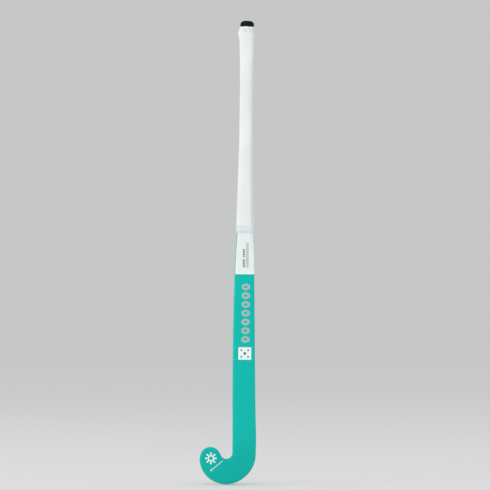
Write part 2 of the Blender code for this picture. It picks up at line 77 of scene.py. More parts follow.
# The shaft, by height above the throat's centre: half width on the toe side, half width on the heel side,
# thickness and face depth
BLADE_STATIONS = (
    (0.028, 0.0206, 0.0267, 0.0207, 0.0110),
    (0.068, 0.0210, 0.0254, 0.0209, 0.0110),
    (0.138, 0.0217, 0.0238, 0.0213, 0.0110),
)
# The same, by distance below the shell's top
UPPER_STATIONS = (
    (0.515, 0.0204, 0.0200, 0.0234, 0.0113),
    (0.465, 0.0190, 0.0188, 0.0242, 0.0117),
    (0.435, 0.0176, 0.0176, 0.0247, 0.0120),
    (0.407, 0.0161, 0.0161, 0.0252, 0.0123),
    (0.365, 0.0150, 0.0150, 0.0257, 0.0126),
    (0.315, 0.0137, 0.0137, 0.0260, 0.0129),
    (0.265, 0.0125, 0.0125, 0.0262, 0.0131),
    (0.215, 0.0117, 0.0117, 0.0262, 0.0131),
    (0.100, 0.0115, 0.0115, 0.0262, 0.0131),
    (0.060, 0.0121, 0.0120, 0.0265, 0.0133),
    (0.020, 0.0134, 0.0132, 0.0276, 0.0138),
    (0.000, 0.0142, 0.0140, 0.0284, 0.0142),
)
FACE_DEPTH = 0.0110
FLAT_RISE = 0.048
EDGE_SHARE = 0.20
EDGE_DEPTH = 0.0040
HANDLE_EDGE_SHARE = 0.80
DOME_POWER = 2.3
OVAL_DROP = (0.300, 0.500)
MIN_EDGE_DEPTH = 0.0012
BOW_REACH = 0.036
BOW_DROP = 0.290
BOW_POWER = 3
WALL = 0.0026
HEAD_WALL = 0.0035
HEAD_WALL_RISES = (0.048, 0.103)

# Fineness of the surfaces
FLAT_STEPS = 3
EDGE_STEPS = 8
BACK_STEPS = 14
HOOK_STEPS = 51
TOE_STEPS = 36
SHAFT_STEP = 0.006
MERGE = 1e-6
CLEARANCE = 0.0003  # above the shell's rim, to what stands on it

# Where the lacquer's painted shade fades, above the heel: from the darker head to the shaft, and on up to the
# lighter handle
HEAD_SHADE_FADE = (0.050, 0.110)
SHAFT_SHADE_FADE = (0.150, 0.280)

# The prints are ink films, this thick and this far in front of what they lie on
INK = 0.00008
LIFT = 0.00005
PRINT_STEP = 0.006
PANEL_MARGIN = 0.0014  # bare lacquer between the panel and the toe-side edge
PANEL_WRAP = 2  # how many of the back's steps the panel covers on the heel side
PANEL_TUCK = 0.002  # how far the panel runs up under the finishing tape
FIELD_LEFT = (-0.0172, -0.0152)  # where the panel's greyer field starts inside its white border
FIELD_RIGHT = (0.0168, 0.0148)
FIELD_BOTTOM = (0.0028, 0.0042)  # the same, above the panel's lower end
DASH_GAP = 0.0010
GLYPHS = 7
GLYPH_BANDS = (0.0009, 0.0016, 0.0009)
BADGE_CORNER = 0.0011
BADGE_DOT = 0.0019
BADGE_MIDDLE_DOT = 0.0030
BADGE_DOT_REACH = 0.26  # share of the badge's width and length from its middle to the outer dots
TICK_WIDTH = 0.0050
TICK_HEIGHT = 0.0008
TICK_INSET = 0.0008
TICK_STEP = 0.0006
ROSETTE_BAND = 0.0026
PETALS = 8
PETAL_ROOT = 0.0070  # the rosette's middle to where a petal starts
PETAL_HALF_LENGTH = 0.0025
PETAL_HALF_WIDTH = 0.0017
PETAL_SIDES = 16
LEGEND_DOTS = 11
LEGEND_FIRST_DOT = 0.0016
LEGEND_DOT = 0.0010
LEGEND_INSET = 0.0006

# The wound grip, as distances out from the shell
GRIP_INNER = 0.0010
GRIP_OUTER = 0.0020
GRIP_STEP = 0.0009
GRIP_INNER_STEP = 0.02
ROLL_IN = 0.0019  # how far the rolled top edge curls in
ROLL_STEPS = 8
GRIP_LIP = ((0.0004, -0.0008), (0.0030, 0.0))  # below the grip's top, and out from the shell
WIND_PITCH = 0.0215  # height between one turn's edge and the next
LAP_RISE = 0.00012  # how far a turn's edge stands out over the turn below
LAP_EDGE = 0.035  # share of a turn over which its edge rises
LAP_FADE = 0.22  # share of a turn over which the rise dies away
LUMP_RISE = 0.00008
UNEVEN_FROM = (-0.0006, 0.0030)  # above the tape's top, where the turns and the lumps fade in
FOLD_DEPTH = 0.0007
FOLD_REACH = 0.010
# the painted shade in the creases of the folds, at its darkest
FOLD_SHADE = 0.55
BULGE = 0.0025
BULGE_DROP = 0.0075
BULGE_REACH = 0.0072
RIM_PEAK = math.radians(100)  # the rim is highest where this and the angle round the handle cancel
RIM_DIP = 0.0016
RIM_RIPPLE = 0.00030
RIM_REACH = 0.010
SEAM = math.radians(-43)  # the lengthwise seam's place round the handle
SEAM_WIDTH = 0.06
SHADE_STARTS = (-0.04, 0.05)  # angles past the seam, between which the shaded side fades in
SHADE_DIES = (1.2, 0.5)  # where it has gone again, and the last angle at which it is full

# The finishing tape over the grip's foot
TAPE_THICKNESS = 0.0003
TAPE_PRESS = 0.00045  # how much thinner the grip is where the tape pulls it in
PRESS_ROWS = (0.0008, 0.0040)  # below the tape's top, where the grip is pressed thin
GRIP_PRESSED = GRIP_OUTER - TAPE_PRESS - LAP_RISE
TAPE_OVER_GRIP = 0.00035  # out from the pressed grip
TAPE_OVER_SHELL = 0.00022  # out from the bare shell
TAPE_DEPTH = 0.0002  # the mesh's own wall
TAPE_FALL = (0.0002, -0.0026)  # above the grip's foot, where the tape steps down to the shell
TAPE_LAP = (1.05, 1.12, 1.90, 2.20)  # angles where the lapped end rises and falls
TAPE_LAP_RISE = 0.00025
TAPE_SWELL = 0.00006
TAPE_CREASES = ((0.00006, 11, 900), (0.00005, 23, 400))  # rise, waves round the handle, slant
TAPE_STEP = 0.001
TAPE_FALL_STEP = 0.0006

# The end cap, as (distance below the top, distance in from the shell's outline)
CAP_DIMPLE = ((0.00035, 0.0136), (0.00030, 0.0129), (0.00005, 0.0121), (0.0, 0.0117))
CAP_DOME_DROP = 0.0056
CAP_DOME_INSETS = (0.0008, 0.0105)  # at the dome's foot, and how much more at its top
CAP_DOME_STEPS = 8
CAP_BEAD = ((0.0058, 0.0006), (0.0064, 0.0008), (0.0067, 0.0011), (0.0070, 0.0008), (0.0074, 0.0001))
CAP_SKIRT = ((0.0084, -0.0001), (0.0094, 0.0))
CAP_HEM = ((0.0006, 0.0004), (0.0002, 0.0014))  # the same, above the grip's top
NECK_INSET = 0.0026
SPIGOT_GAP = 0.0003
SPIGOT_INSET = 0.0013
BARBS = 3
BARB_LIP = 0.0004
BARB_SLOPE = 0.6  # share of the barbs' pitch

Section = namedtuple("Section", "pole out toe heel face thickness round wall")


def smooth(at, places, values):
    """A smooth curve through the points (place, value), read at one place and level past its ends."""
    x, y = np.asarray(places, float), np.asarray(values, float)
    at = min(max(at, x[0]), x[-1])
    slope = np.gradient(y, x)
    i = min(max(int(np.searchsorted(x, at)) - 1, 0), len(x) - 2)
    span = x[i + 1] - x[i]
    t = (at - x[i]) / span
    near = (1 + 2 * t) * (1 - t) ** 2 * y[i] + t * (1 - t) ** 2 * span * slope[i]
    far = t * t * (3 - 2 * t) * y[i + 1] + t * t * (t - 1) * span * slope[i + 1]
    return float(near + far)


def ramp(at, start, end):
    """0 before start and 1 after end, with a soft step between."""
    t = min(max((at - start) / (end - start), 0.0), 1.0)
    return t * t * (3 - 2 * t)


HOOK_CENTRE = Vector((-RIDGE_RADIUS, 0, RIDGE_RADIUS + smooth(math.pi / 2, HEEL_ANGLES, HEEL_HALVES)))


# ---------------------------------------------------------------- the body's sections


def hook_section(angle):
    """The section of the hook after it has turned by this angle from the shaft."""
    out = Vector((math.cos(angle), 0, -math.sin(angle)))
    share = angle / HOOK_TURN
    return Section(
        pole=HOOK_CENTRE + out * RIDGE_RADIUS,
        out=out,
        toe=RIDGE_RADIUS - NOTCH_RADIUS,
        heel=smooth(angle, HEEL_ANGLES, HEEL_HALVES),
        face=FACE_DEPTH,
        thickness=HOOK_THICKNESS + share * (TOE_THICKNESS - HOOK_THICKNESS),
        round=0.0,
        wall=HEAD_WALL,
    )


def flank_section(share):
    """A section this share of the way from the hook's end to the toe's centre, with an eased outer edge."""
    last = hook_section(HOOK_TURN)
    along = Vector((-math.sin(HOOK_TURN), 0, -math.cos(HOOK_TURN)))
    left = 1 - share
    heel = last.heel * left**2 * (1 + 2 * share) + TOE_HEEL_HALF * share**2 * (1 + 2 * left)
    eased = FLANK_SLOPES[0] * share * left**2 - FLANK_SLOPES[1] * share**2 * left
    heel += FLANK_LENGTH * eased
    return last._replace(pole=last.pole + along * FLANK_LENGTH * share, heel=heel)


def shaft_stations():
    """The shaft's stations by height above the heel, from the throat up."""
    start = hook_section(0.0)
    blade = [(HOOK_CENTRE.z + rise, *sizes) for rise, *sizes in BLADE_STATIONS]
    upper = [(SHELL_TOP - drop, *sizes) for drop, *sizes in UPPER_STATIONS]
    return [(start.pole.z, start.toe, start.heel, start.thickness, start.face), *blade, *upper]


STATIONS = tuple(zip(*shaft_stations()))


def shaft_section(height):
    """The level section of the shaft or handle at this height above the heel."""
    heights, toe, heel, thickness, face = STATIONS
    return Section(
        pole=Vector((0, 0, height)),
        out=Vector((1, 0, 0)),
        toe=smooth(height, heights, toe),
        heel=smooth(height, heights, heel),
        face=smooth(height, heights, face),
        thickness=smooth(height, heights, thickness),
        round=ramp(height, SHELL_TOP - OVAL_DROP[1], SHELL_TOP - OVAL_DROP[0]),
        wall=HEAD_WALL + (WALL - HEAD_WALL) * ramp(height - HOOK_CENTRE.z, *HEAD_WALL_RISES),
    )


def heights_between(low, high, step=SHAFT_STEP):
    """Heights from high down to low, about a step apart."""
    count = max(1, round((high - low) / step))
    return [high + (low - high) * i / count for i in range(count + 1)]


def edge_shape(section, inset):
    """The section's thickness, and its edge's share of the half width and depth, on a surface this far in."""
    thickness = section.thickness - 2 * inset
    share = EDGE_SHARE + section.round * (HANDLE_EDGE_SHARE - EDGE_SHARE)
    edge = EDGE_DEPTH + section.round * (section.thickness / 2 - EDGE_DEPTH)
    return thickness, share, max(edge - inset, MIN_EDGE_DEPTH)


def half_profile(section, inset):
    """Half a section as (share of the half width, depth behind the face): from the middle of the face, round
    the edge, to the ridge of the back. A negative inset is a surface outside the shell."""
    thickness, share, edge = edge_shape(section, inset)
    points = [(i / FLAT_STEPS * (1 - share), inset) for i in range(FLAT_STEPS)]
    for i in range(EDGE_STEPS + 1):
        turn = math.pi / 2 * i / EDGE_STEPS
        points.append((1 - share + share * math.sin(turn), inset + edge * (1 - math.cos(turn))))
    for i in range(1, BACK_STEPS + 1):
        turn = math.pi / 2 * i / BACK_STEPS
        across = math.cos(turn) ** (2 / DOME_POWER) if i < BACK_STEPS else 0.0
        points.append((across, inset + edge + (thickness - edge) * math.sin(turn) ** (2 / DOME_POWER)))
    return points


def place(section, across, depth):
    """A point of a section: across towards the outer edge, and depth behind the face."""
    point = section.pole + section.out * across
    return Vector((point.x, depth - section.face, point.z))


def ring_points(section, inset):
    """The points round a section, from the middle of the face by the heel side, the back and the toe side."""
    half = half_profile(section, inset)
    heel, toe = section.heel - inset, section.toe - inset
    points = [place(section, share * heel, depth) for share, depth in half]
    return points + [place(section, -share * toe, depth) for share, depth in half[-2:0:-1]]


def bow(height):
    """How far the bow carries the stick forward, towards -Y, at this height."""
    start = SHELL_TOP - BOW_DROP
    bent = max(height, HOOK_CENTRE.z + FLAT_RISE)
    left = max(1 - bent / start, 0.0)
    slope = BOW_POWER * BOW_REACH / start * left ** (BOW_POWER - 1)
    return BOW_REACH * left**BOW_POWER + slope * (bent - height)


def face_place(x, height):
    """How far in front of the ridge line the face lies here, the shaft's rounded edges included."""
    if height < HOOK_CENTRE.z or x < -RIDGE_RADIUS:
        return FACE_DEPTH
    section = shaft_section(height)
    _, share, edge = edge_shape(section, 0.0)
    reach = abs(x) / (section.heel if x > 0 else section.toe)
    over = min(max((reach - 1 + share) / share, 0.0), 1.0)
    return section.face - edge * (1 - math.sqrt(1 - over * over))


# ---------------------------------------------------------------- mesh tools


def ring_edges(bm, ring):
    return [bm.edges.get(pair) for pair in zip(ring, ring[1:] + ring[:1])]


def neighbours(vert):
    return [edge.other_vert(vert) for edge in vert.link_edges]


def skin(bm, rings):
    """Extrudes the first ring of points through each of the others in turn and returns the vertex rings."""
    first = [bm.verts.new(point) for point in rings[0]]
    for pair in zip(first, first[1:] + first[:1]):
        bm.edges.new(pair)
    made = [first]
    for points in rings[1:]:
        grown = bmesh.ops.extrude_edge_only(bm, edges=ring_edges(bm, made[-1]))["geom"]
        fresh = {item for item in grown if isinstance(item, bmesh.types.BMVert)}
        ring = [next(other for other in neighbours(vert) if other in fresh) for vert in made[-1]]
        for vert, point in zip(ring, points):
            vert.co = point
        made.append(ring)
    return made


def close_toe(bm, ring, section, inset):
    """Spins the toe-side half of the last ring half a turn about the toe's centre, to the heel side."""
    count = len(ring) // 2 + 1
    chain = [ring[0], *ring[: count - 2 : -1]]
    edges = [edge for edge in ring_edges(bm, ring) if set(edge.verts) <= set(chain)]
    old = set(bm.verts)
    bmesh.ops.spin(
        bm, geom=chain + edges, cent=section.pole, axis=(0, -1, 0), angle=math.pi, steps=TOE_STEPS
    )
    toe, heel = section.toe - inset, section.heel - inset
    for vert in set(bm.verts) - old:
        arm = Vector((vert.co.x - section.pole.x, 0, vert.co.z - section.pole.z))
        if arm.length > MERGE:
            turned = arm.angle(-section.out)
            share = max(turned - TOE_ROUND_FROM, 0.0) / (math.pi - TOE_ROUND_FROM)
            grown = 1 + (heel / toe - 1) * share**TOE_ROUND_POWER
            vert.co.x = section.pole.x + arm.x * grown
            vert.co.z = section.pole.z + arm.z * grown
    bmesh.ops.remove_doubles(bm, verts=bm.verts[:], dist=MERGE)


def settle(point):
    """Bends a point by the bow and moves it to the frame's origin."""
    return Vector((point.x, point.y - bow(point.z), point.z + HEEL))


def make(name, bm, *looks, sharp=40):
    """Settles a shape and makes it a smooth object with these materials."""
    for vert in bm.verts:
        vert.co = settle(vert.co)
    bmesh.ops.recalc_face_normals(bm, faces=bm.faces[:])
    mesh = bpy.data.meshes.new(name)
    bm.to_mesh(mesh)
    bm.free()
    mesh.shade_smooth()
    mesh.set_sharp_from_angle(angle=math.radians(sharp))
    for look in looks:
        mesh.materials.append(look)
    made = bpy.data.objects.new(name, mesh)
    bpy.context.scene.collection.objects.link(made)
    return made


def fit_out(piece, slot, *nodes):
    """Puts a piece on the stick in place of its plain solids."""
    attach(piece, "root")
    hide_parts(*nodes)
    return piece


# ---------------------------------------------------------------- finishes


def tone(red, green, blue):
    """A colour from its everyday 0 to 255 values."""
    parts = [part / 255 for part in (red, green, blue)]
    return tuple(part / 12.92 if part <= 0.04045 else ((part + 0.055) / 1.055) ** 2.4 for part in parts)


class Finish:
    """One procedural finish: a Principled shader with patterns on the object's own coordinates."""

    def __init__(self, name, roughness, **constants):
        self.material = bpy.data.materials.new(name)
        self.material.use_nodes = True
        self.tree = self.material.node_tree
        self.shader = self.tree.nodes["Principled BSDF"]
        self.shader.inputs["Roughness"].default_value = roughness
        for socket, value in constants.items():
            self.shader.inputs[socket.replace("_", " ")].default_value = value
        self.place = self.add("ShaderNodeTexCoord").outputs["Object"]

    def add(self, kind, **settings):
        node = self.tree.nodes.new(kind)
        for setting, value in settings.items():
            setattr(node, setting, value)
        return node

    def feed(self, socket, value):
        """Links an output to a socket, or sets the socket to a plain value."""
        if isinstance(value, bpy.types.NodeSocket):
            self.tree.links.new(value, socket)
        elif isinstance(value, tuple) and len(value) == 3 and socket.type == "RGBA":
            socket.default_value = (*value, 1)
        else:
            socket.default_value = value

    def stretched(self, scale):
        node = self.add("ShaderNodeMapping")
        self.feed(node.inputs["Vector"], self.place)
        node.inputs["Scale"].default_value = scale
        return node.outputs["Vector"]

    def noise(self, scale, detail=3.0, stretch=None):
        node = self.add("ShaderNodeTexNoise")
        self.feed(node.inputs["Vector"], self.stretched(stretch) if stretch else self.place)
        node.inputs["Scale"].default_value = scale
        node.inputs["Detail"].default_value = detail
        return node.outputs["Fac"]

    def cells(self, scale):
        node = self.add("ShaderNodeTexVoronoi")
        self.feed(node.inputs["Vector"], self.place)
        node.inputs["Scale"].default_value = scale
        return node.outputs["Distance"]

    def bands(self, scale, direction):
        node = self.add("ShaderNodeTexWave", bands_direction=direction)
        self.feed(node.inputs["Vector"], self.place)
        node.inputs["Scale"].default_value = scale
        return node.outputs["Fac"]

    def axis(self, name):
        node = self.add("ShaderNodeSeparateXYZ")
        self.feed(node.inputs["Vector"], self.place)
        return node.outputs[name]

    def value_of(self, attribute):
        return self.add("ShaderNodeAttribute", attribute_name=attribute).outputs["Fac"]

    def span(self, value, low, high, to_low=0.0, to_high=1.0):
        node = self.add("ShaderNodeMapRange", interpolation_type="SMOOTHSTEP")
        for socket, given in zip(node.inputs, (value, low, high, to_low, to_high)):
            self.feed(socket, given)
        return node.outputs["Result"]

    def maths(self, operation, first, second=0.0):
        node = self.add("ShaderNodeMath", operation=operation)
        self.feed(node.inputs[0], first)
        self.feed(node.inputs[1], second)
        return node.outputs[0]

    def mix(self, factor, first, second):
        node = self.add("ShaderNodeMix", data_type="RGBA")
        self.feed(node.inputs["Factor"], factor)
        self.feed(node.inputs[6], first)
        self.feed(node.inputs[7], second)
        return node.outputs[2]

    def colour(self, value):
        self.feed(self.shader.inputs["Base Color"], value)

    def rough(self, value):
        self.feed(self.shader.inputs["Roughness"], value)

    def bump(self, height, distance, strength=1.0):
        """Adds relief to the shader, on top of any relief it has."""
        node = self.add("ShaderNodeBump")
        node.inputs["Distance"].default_value = distance
        node.inputs["Strength"].default_value = strength
        self.feed(node.inputs["Height"], height)
        below = self.shader.inputs["Normal"]
        if below.is_linked:
            self.feed(node.inputs["Normal"], below.links[0].from_socket)
        self.feed(below, node.outputs["Normal"])


def teal_lacquer():
    """Teal pigment under a clear coat, with slow drifts in the pigment and painted shade a little deeper
    towards the head.
    """
    look = Finish("teal_lacquer", 0.40, Coat_Weight=0.12, Coat_Roughness=0.12, Specular_IOR_Level=0.14)
    drift = look.span(look.noise(9, 2, (1.0, 1.0, 0.3)), 0.35, 0.65)
    # painted shade: the teal steps darker from the handle down the shaft to the head
    low = look.span(look.axis("Z"), *(HEEL + rise for rise in HEAD_SHADE_FADE))
    high = look.span(look.axis("Z"), *(HEEL + rise for rise in SHAFT_SHADE_FADE))
    head = look.mix(drift, tone(0, 178, 166), tone(0, 183, 171))
    shaft = look.mix(drift, tone(0, 187, 175), tone(0, 191, 179))
    upper = look.mix(drift, tone(0, 191, 178), tone(0, 196, 183))
    look.colour(look.mix(high, look.mix(low, head, shaft), upper))
    look.rough(look.span(look.noise(60, 3), 0.3, 0.7, 0.36, 0.45))
    look.bump(look.noise(260, 2), 0.00004, 0.35)
    look.bump(look.noise(30, 2, (1.0, 1.0, 0.15)), 0.00012, 0.25)
    return look.material


def panel_white():
    """White ink, with a faintly greyer field inside a brighter border."""
    look = Finish("panel_white", 0.40, Coat_Weight=0.25, Coat_Roughness=0.15, Specular_IOR_Level=0.35)
    from_left = look.span(look.axis("X"), *FIELD_LEFT)
    from_right = look.span(look.axis("X"), *FIELD_RIGHT)
    from_bottom = look.span(look.axis("Z"), *(HEEL + PANEL_BOTTOM + rise for rise in FIELD_BOTTOM))
    field = look.maths("MULTIPLY", look.maths("MULTIPLY", from_left, from_right), from_bottom)
    mottle = look.span(look.noise(140, 3), 0.42, 0.68)
    grey = look.mix(mottle, tone(239, 247, 245), tone(234, 243, 241))
    look.colour(look.mix(field, tone(249, 252, 251), grey))
    look.rough(look.span(look.noise(80, 3), 0.3, 0.7, 0.35, 0.45))
    look.bump(look.noise(300, 2), 0.00003, 0.3)
    return look.material


def ink(name, first, second, roughness=0.42, scale=1400):
    """A screen-printed ink of two close tones, with a fine tooth."""
    look = Finish(name, roughness, Coat_Weight=0.2, Coat_Roughness=0.2, Specular_IOR_Level=0.35)
    look.colour(look.mix(look.span(look.noise(scale, 2), 0.35, 0.65), first, second))
    look.bump(look.noise(scale * 2, 2), 0.00003, 0.4)
    return look.material


def wound_polyurethane():
    """Soft white PU tape: a fine leathery tooth, slow drifts in tone, painted shade past the seam and in the
    folds, and a seam down the heel side.
    """
    look = Finish("wound_polyurethane", 0.62, Specular_IOR_Level=0.30, Sheen_Weight=0.08, Sheen_Roughness=0.5)
    slow = look.span(look.noise(26, 3, (1.0, 1.0, 0.6)), 0.35, 0.65)
    cloth = look.mix(slow, tone(237, 240, 239), tone(243, 246, 245))
    pores = look.span(look.cells(1500), 0.02, 0.35)
    dimples = look.maths("MULTIPLY", look.maths("SUBTRACT", 1.0, pores), 0.35)
    toothed = look.mix(dimples, cloth, tone(225, 231, 229))
    turn = look.maths("ARCTAN2", look.axis("Y"), look.axis("X"))
    started = look.span(turn, *(SEAM + past for past in SHADE_STARTS))
    lasting = look.span(turn, *(SEAM + past for past in SHADE_DIES))
    shade = look.maths("MULTIPLY", started, lasting)
    shaded = look.mix(look.maths("MULTIPLY", shade, 0.5), toothed, tone(208, 215, 210))
    into = look.span(turn, SEAM - SEAM_WIDTH, SEAM)
    out = look.span(turn, SEAM + SEAM_WIDTH, SEAM)
    seam = look.maths("MULTIPLY", into, out)
    stitched = look.mix(look.maths("MULTIPLY", seam, 0.60), shaded, tone(168, 176, 170))
    # painted shade in the creases of the folds, from the fold attribute
    look.colour(look.mix(look.value_of("fold"), stitched, tone(160, 168, 165)))
    look.rough(look.span(look.noise(220, 3), 0.3, 0.7, 0.56, 0.70))
    look.bump(pores, 0.00006, 0.35)
    look.bump(look.noise(420, 4), 0.00010, 0.35)
    look.bump(look.maths("SUBTRACT", 1.0, seam), 0.0003, 0.6)
    return look.material


def pale_tape():
    """Thin bluish vinyl with lengthwise creases and fine stretch lines."""
    look = Finish("pale_tape", 0.45, Coat_Weight=0.15, Coat_Roughness=0.3)
    streak = look.span(look.noise(60, 3, (1.0, 1.0, 9.0)), 0.35, 0.7)
    look.colour(look.mix(streak, tone(223, 232, 238), tone(231, 238, 243)))
    look.rough(look.span(look.noise(200, 2), 0.3, 0.7, 0.38, 0.5))
    look.bump(look.noise(45, 3, (1.0, 1.0, 6.0)), 0.00015, 0.5)
    return look.material


def cap_rubber():
    """Black moulded rubber with a fine stipple and a dusty bloom."""
    look = Finish("cap_rubber", 0.55, Specular_IOR_Level=0.22)
    bloom = look.span(look.noise(180, 4), 0.4, 0.75)
    look.colour(look.mix(bloom, tone(17, 19, 22), tone(28, 31, 35)))
    look.rough(look.span(look.noise(500, 2), 0.3, 0.7, 0.48, 0.62))
    look.bump(look.cells(1300), 0.00008, 0.5)
    return look.material


def rigid_foam():
    look = Finish("rigid_foam", 0.9)
    cell = look.span(look.cells(900), 0.05, 0.5)
    look.colour(look.mix(cell, tone(196, 184, 150), tone(232, 222, 190)))
    look.bump(cell, 0.0002, 0.6)
    return look.material


def cushion_foam():
    look = Finish("cushion_foam", 0.85)
    cell = look.span(look.cells(1600), 0.05, 0.5)
    look.colour(look.mix(cell, tone(206, 206, 200), tone(232, 232, 226)))
    look.bump(cell, 0.0001, 0.5)
    return look.material


def carbon_tow():
    """Carbon laid in crossing bands under resin."""
    look = Finish("carbon_tow", 0.35, Coat_Weight=0.5, Coat_Roughness=0.1)
    across, along = look.bands(160, "Y"), look.bands(160, "Z")
    weave = look.maths("MULTIPLY", across, along)
    look.colour(look.mix(weave, tone(18, 18, 20), tone(52, 53, 57)))
    look.bump(weave, 0.0001, 0.4)
    return look.material


def aramid_tow():
    """Golden aramid fibre in resin, streaked along the heel."""
    look = Finish("aramid_tow", 0.5)
    fibre = look.span(look.noise(700, 3, (1.0, 0.15, 1.0)), 0.3, 0.7)
    look.colour(look.mix(fibre, tone(176, 140, 48), tone(222, 190, 92)))
    look.bump(fibre, 0.0001, 0.5)
    return look.material


def damper_silicone():
    look = Finish("damper_silicone", 0.4, Specular_IOR_Level=0.5)
    look.colour(look.mix(look.noise(120, 2), tone(120, 134, 140), tone(142, 156, 162)))
    look.bump(look.noise(300, 2), 0.00005, 0.4)
    return look.material


TEAL = teal_lacquer()
PANEL = panel_white()
WHITE_INK = ink("white_ink", tone(242, 249, 248), tone(247, 251, 251))
SILVER_INK = ink("silver_ink", tone(212, 224, 224), tone(222, 232, 232))
# a faint print line, lightened into painted highlight where it lies on the rounded edges
LINE_AND_GLINT_INK = ink("faint_ink", tone(88, 206, 196), tone(106, 211, 202))
ROSE_INK = ink("rose_ink", tone(164, 131, 133), tone(174, 143, 144))
LIGHT_GREY_INK = ink("light_grey_ink", tone(178, 187, 186), tone(192, 200, 199))
DARK_GREY_INK = ink("dark_grey_ink", tone(104, 114, 113), tone(128, 137, 136))
TEAL_INK = ink("teal_ink", tone(0, 150, 138), tone(0, 162, 150))
GRIP_PU = wound_polyurethane()
TAPE = pale_tape()
RUBBER = cap_rubber()
FOAM = rigid_foam()
CUSHION = cushion_foam()
CARBON = carbon_tow()
ARAMID = aramid_tow()
SILICONE = damper_silicone()


# ---------------------------------------------------------------- the moulded body


def lacquered_body():
    """The hollow moulding, skinned from the toe up the outside to the butt and down the inside again."""
    shaft = [shaft_section(height) for height in heights_between(HOOK_CENTRE.z, SHELL_TOP)]
    hook = [hook_section(HOOK_TURN * i / HOOK_STEPS) for i in range(1, HOOK_STEPS + 1)]
    flank = [flank_section(i / FLANK_STEPS) for i in range(1, FLANK_STEPS + 1)]
    sections = [*shaft, *hook, *flank]
    outside = [ring_points(section, 0.0) for section in sections]
    hollow = [ring_points(section, section.wall) for section in sections]
    bm = bmesh.new()
    rings = skin(bm, outside[::-1] + hollow)
    close_toe(bm, rings[0], sections[-1], 0.0)
    close_toe(bm, rings[-1], sections[-1], sections[-1].wall)
    return fit_out(make("lacquered_body", bm, TEAL), "teal_lacquer", "composite_shell")


# ---------------------------------------------------------------- the prints


def node_frame(node):
    """The middle, width and length of a print's plain solid, seen square on, in heights above the heel."""
    low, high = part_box(node)
    middle = Vector(((low.x + high.x) / 2, 0, (low.z + high.z) / 2 - HEEL))
    return middle, high.x - low.x, high.z - low.z


def flat_shape(outline):
    """A new mesh with one face, from an outline of (x, height) points."""
    bm = bmesh.new()
    add_outline(bm, outline)
    bm.normal_update()
    return bm


def cut(bm, axis, step):
    """Cuts a flat shape into strips along x (axis 0) or height (axis 2)."""
    places = [vert.co[axis] for vert in bm.verts]
    across = Vector((axis == 0, 0, axis == 2))
    for at in heights_between(min(places), max(places), step)[1:-1]:
        everything = bm.verts[:] + bm.edges[:] + bm.faces[:]
        bmesh.ops.bisect_plane(bm, geom=everything, dist=MERGE, plane_co=across * at, plane_no=across)


def print_on(bm, lift=LIFT):
    """Cuts a flat shape into rows, lays it on the face and gives it an ink film's thickness."""
    cut(bm, 2, PRINT_STEP)
    grown = bmesh.ops.extrude_face_region(bm, geom=bm.faces[:])
    top = {item for item in grown["geom"] if isinstance(item, bmesh.types.BMVert)}
    for vert in bm.verts:
        vert.co.y = -face_place(vert.co.x, vert.co.z) - lift - (INK if vert in top else 0.0)


def rectangle(x, low, width, tall):
    left, right = x - width / 2, x + width / 2
    return [(left, low), (right, low), (right, low + tall), (left, low + tall)]


def circle(x, height, radius, steps=32):
    angles = [math.tau * i / steps for i in range(steps)]
    return [(x + radius * math.cos(angle), height + radius * math.sin(angle)) for angle in angles]


def add_outline(bm, outline):
    return bm.faces.new([bm.verts.new((x, 0, height)) for x, height in outline])


def panel_chain(height, out):
    """Points across the face and round the heel-side edge, this far out from the shell."""
    section = shaft_section(height)
    half = half_profile(section, -out)
    edge_end = FLAT_STEPS + EDGE_STEPS
    shares, depths = zip(*half[: edge_end + 1])
    heel_side = half[: edge_end + 1 + PANEL_WRAP]
    start = 1 - PANEL_MARGIN / section.toe
    toe_side = [min(share, start) for share in shares[:0:-1]]
    toe, heel = section.toe + out, section.heel + out
    points = [place(section, -share * toe, float(np.interp(share, shares, depths))) for share in toe_side]
    return points + [place(section, share * heel, depth) for share, depth in heel_side]


def panel_print():
    """The white panel, over the face and round the heel-side edge."""
    rings = []
    for height in heights_between(PANEL_BOTTOM, TAPE_BOTTOM + PANEL_TUCK):
        rings.append(panel_chain(height, LIFT + INK) + panel_chain(height, LIFT)[::-1])
    bm = bmesh.new()
    made = skin(bm, rings)
    bm.faces.new(made[0])
    bm.faces.new(made[-1])
    bmesh.ops.remove_doubles(bm, verts=bm.verts[:], dist=MERGE)
    return fit_out(make("panel_print", bm, PANEL), "white_print", "upper_panel")


def bar_print(name, node, look, slot, dashes, skipped=()):
    """One of the panel's bars, as a ladder of short dashes."""
    middle, width, length = node_frame(node)
    pitch = length / dashes
    bm = bmesh.new()
    for i in range(dashes):
        if i not in skipped:
            low = middle.z - length / 2 + i * pitch + DASH_GAP / 2
            add_outline(bm, rectangle(middle.x, low, width, pitch - DASH_GAP))
    print_on(bm, 2 * LIFT + INK)
    return fit_out(make(name, bm, look), slot, node)


def glyph_print(index):
    """An outlined hexagon: a rose band between two silver lines."""
    node = f"shaft_glyph_{index}"
    middle, width, length = node_frame(node)
    bm = bmesh.new()
    bmesh.ops.create_circle(bm, cap_ends=True, segments=6, radius=width / 2)
    bmesh.ops.rotate(bm, verts=bm.verts[:], cent=(0, 0, 0), matrix=Matrix.Rotation(math.pi / 2, 3, "X"))
    wide, tall = (max(vert.co[axis] for vert in bm.verts) for axis in (0, 2))
    bmesh.ops.scale(bm, verts=bm.verts[:], vec=(width / 2 / wide, 1, length / 2 / tall))
    bmesh.ops.translate(bm, verts=bm.verts[:], vec=middle)
    core = bm.faces[:]
    for band, look in zip(GLYPH_BANDS, (0, 1, 0)):
        for face in bmesh.ops.inset_individual(bm, faces=core, thickness=band, use_even_offset=True)["faces"]:
            face.material_index = look
    bmesh.ops.delete(bm, geom=core, context="FACES")
    print_on(bm)
    return fit_out(make(f"glyph_print_{index}", bm, SILVER_INK, ROSE_INK), "silver_print", node)


